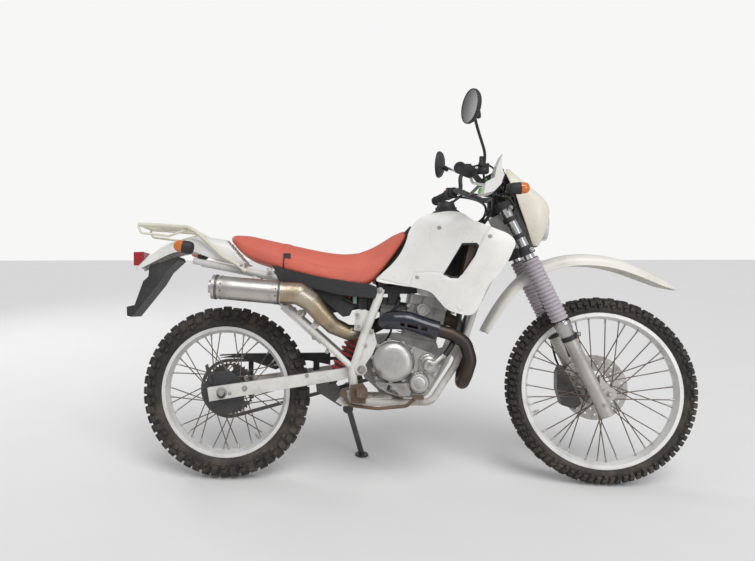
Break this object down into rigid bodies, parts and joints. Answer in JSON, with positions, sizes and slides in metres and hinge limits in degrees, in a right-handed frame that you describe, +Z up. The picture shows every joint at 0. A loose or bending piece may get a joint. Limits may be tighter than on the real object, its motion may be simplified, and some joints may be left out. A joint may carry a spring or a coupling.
{
  "type": "dual sport motorcycle",
  "caption": "Two-wheeled dual sport motorcycle with knobby tyres, long seat, high muffler, tank covers, carrier and side stand, parked leaning on its stand.",
  "frame": {"origin": "middle of the bounding box's footprint, on the floor, with the machine leaning on its side stand", "axes": "+X towards the front wheel, +Y to the rider's left, +Z up"},
  "size_m": [2.0876, 0.8528, 1.4007],
  "materials": {
    "frame_paint": "scuffed white paint",
    "rack_paint": "cream paint",
    "black_paint": "satin black paint",
    "rusty_steel": "rusty steel",
    "engine_alloy": "cast alloy",
    "header_steel": "heat darkened",
    "shield_paint": "gloss navy black",
    "pipe_steel": "brass tinted steel",
    "muffler_steel": "brushed steel",
    "white_plastic": "white moulding",
    "cream_plastic": "aged cream moulding",
    "black_plastic": "black moulding",
    "red_vinyl": "salmon red vinyl",
    "red_lens": "red lens",
    "amber_lens": "amber lens",
    "lamp_glass": "lamp glass",
    "tyre": "dusty rubber",
    "boot_rubber": "grey rubber",
    "rim_alloy": "pale anodised rim",
    "spoke_steel": "dull rusty spokes",
    "hub_alloy": "dull alloy",
    "chrome": "chrome",
    "dark_steel": "oily steel",
    "drum_black": "dark painted alloy",
    "radiator": "dusty brown core"
  },
  "bodies": {
    "chassis": {"frame_backbone": "frame_paint", "frame_cradle": "frame_paint", "frame_posts": "frame_paint", "subframe": "frame_paint", "stand_bracket": "black_paint", "swingarm": "frame_paint", "engine_crankcase": "engine_alloy", "engine_cylinder": "engine_alloy", "carburettor": "engine_alloy", "air_box": "black_plastic", "exhaust_header": "header_steel", "header_shield": "shield_paint", "mid_pipe": "pipe_steel", "muffler": "muffler_steel", "radiators": "radiator", "fuel_tank": "white_plastic", "fuel_cap": "black_plastic", "side_cover_left": "white_plastic", "side_cover_right": "white_plastic", "seat": "red_vinyl", "tail_cowl": "white_plastic", "rear_rack": "rack_paint", "tail_light": "red_lens", "plate_holder": "black_plastic", "rear_indicators": "amber_lens", "drive_chain": "dark_steel", "chain_guard": "black_plastic", "rear_shock": "dark_steel", "footpegs": "rusty_steel", "foot_controls": "black_paint", "rear_brake_panel": "drum_black"},
    "steering": {"fork_tubes": "chrome", "fork_sliders": "hub_alloy", "fork_boots": "boot_rubber", "fork_clamps": "black_paint", "handlebar": "black_paint", "hand_controls": "black_plastic", "knuckle_guard": "white_plastic", "mirrors": "black_plastic", "instrument_cluster": "black_plastic", "headlight_cowl": "cream_plastic", "headlight": "lamp_glass", "headlight_stays": "black_paint", "front_indicators": "amber_lens", "front_fender": "white_plastic", "brake_calliper": "dark_steel", "brake_hose": "black_plastic"},
    "front_wheel": {"front_tyre": "tyre", "front_rim": "rim_alloy", "front_spokes": "spoke_steel", "front_hub": "hub_alloy", "front_disc": "dark_steel"},
    "rear_wheel": {"rear_tyre": "tyre", "rear_rim": "rim_alloy", "rear_spokes": "spoke_steel", "rear_hub": "hub_alloy", "rear_sprocket": "dark_steel"},
    "side_stand": {"side_stand": "black_paint"}
  },
  "joints": [
    {"name": "steering_turn", "type": "hinge", "parent": "chassis", "child": "steering", "pos_m": [0.42839, -0.08258, 0.79079], "axis": [-0.4147, 0.1658, 0.8947], "range_deg": [-37, 43]},
    {"name": "front_wheel_spin", "type": "hinge", "parent": "steering", "child": "front_wheel", "pos_m": [0.70715, -0.17062, 0.33309], "axis": [0.0476, 0.9859, -0.1606], "continuous": true},
    {"name": "rear_wheel_spin", "type": "hinge", "parent": "chassis", "child": "rear_wheel", "pos_m": [-0.66777, -0.17097, 0.31387], "axis": [0, 0.9833, -0.1822], "continuous": true},
    {"name": "side_stand_fold", "type": "hinge", "parent": "chassis", "child": "side_stand", "pos_m": [-0.20777, -0.05751, 0.22368], "axis": [0, 0.9714, 0.2374], "range_deg": [0, 105]}
  ]
}
